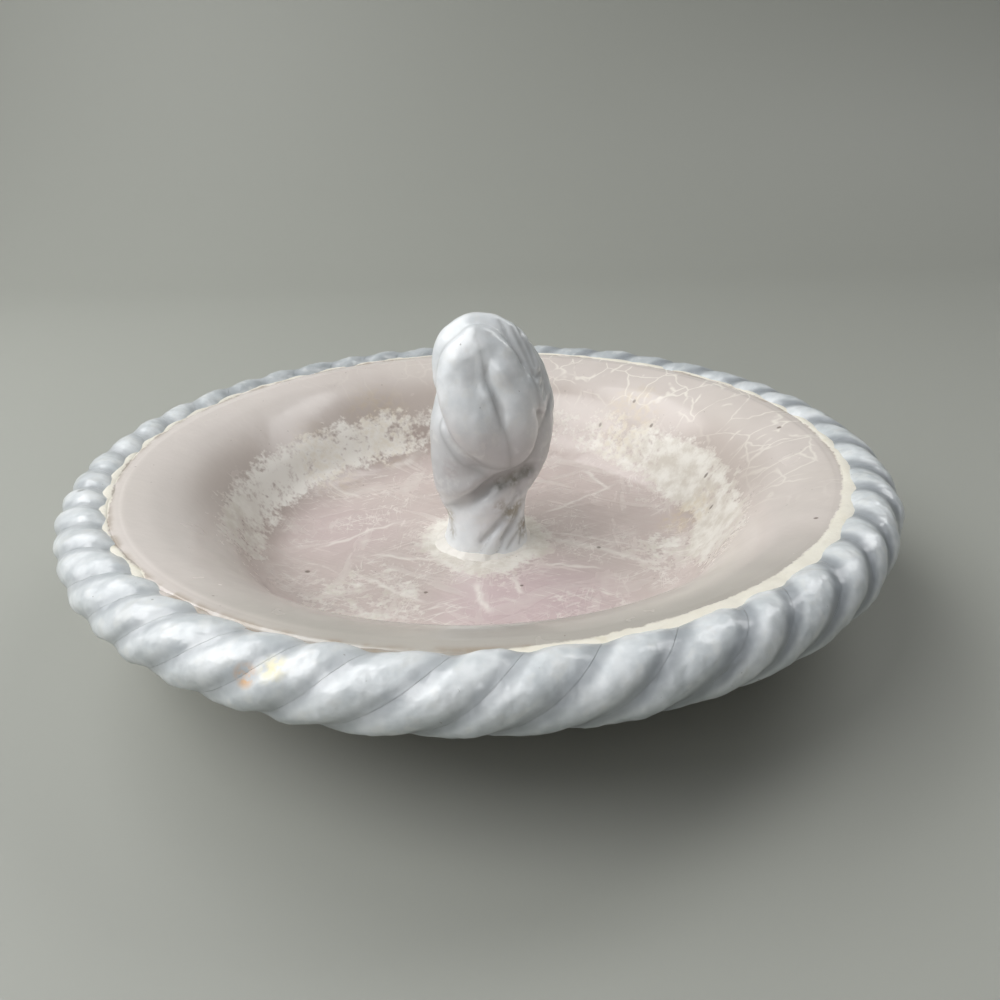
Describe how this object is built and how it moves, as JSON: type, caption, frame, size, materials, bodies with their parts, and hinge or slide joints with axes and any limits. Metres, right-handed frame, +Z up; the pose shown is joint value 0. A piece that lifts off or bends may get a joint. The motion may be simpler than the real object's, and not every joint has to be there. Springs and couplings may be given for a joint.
{
  "type": "ring dish",
  "caption": "Round glazed clay ring dish: a shallow bowl with a twisted rope rim and a knotted rope post in the middle for rings.",
  "frame": {"origin": "middle of the foot ring, on the surface that the dish stands on", "axes": "+Z up along the post; +Y away from the side that the picture shows"},
  "size_m": [0.11, 0.1099, 0.0388],
  "materials": {
    "pink_glaze": "gloss",
    "blue_glaze": "gloss",
    "cream_slip": "satin"
  },
  "bodies": {
    "root": {"dish_bowl": "pink_glaze", "rim_slip_bead": "cream_slip", "rim_heart_coil": "blue_glaze", "rim_strand_1": "blue_glaze", "rim_strand_2": "blue_glaze", "rim_strand_3": "blue_glaze", "post_slip_collar": "cream_slip", "stem_strand_back": "blue_glaze", "stem_strand_front": "blue_glaze", "stem_thin_cord": "blue_glaze", "stem_strand_right": "blue_glaze", "knot_heart": "blue_glaze", "knot_bight_left": "blue_glaze", "knot_bight_right": "blue_glaze", "knot_top_pass": "blue_glaze", "knot_side_pass": "blue_glaze", "knot_collar_pass": "blue_glaze", "knot_back_pass": "blue_glaze", "knot_rear_pass": "blue_glaze", "knot_low_pass": "blue_glaze"}
  },
  "joints": []
}
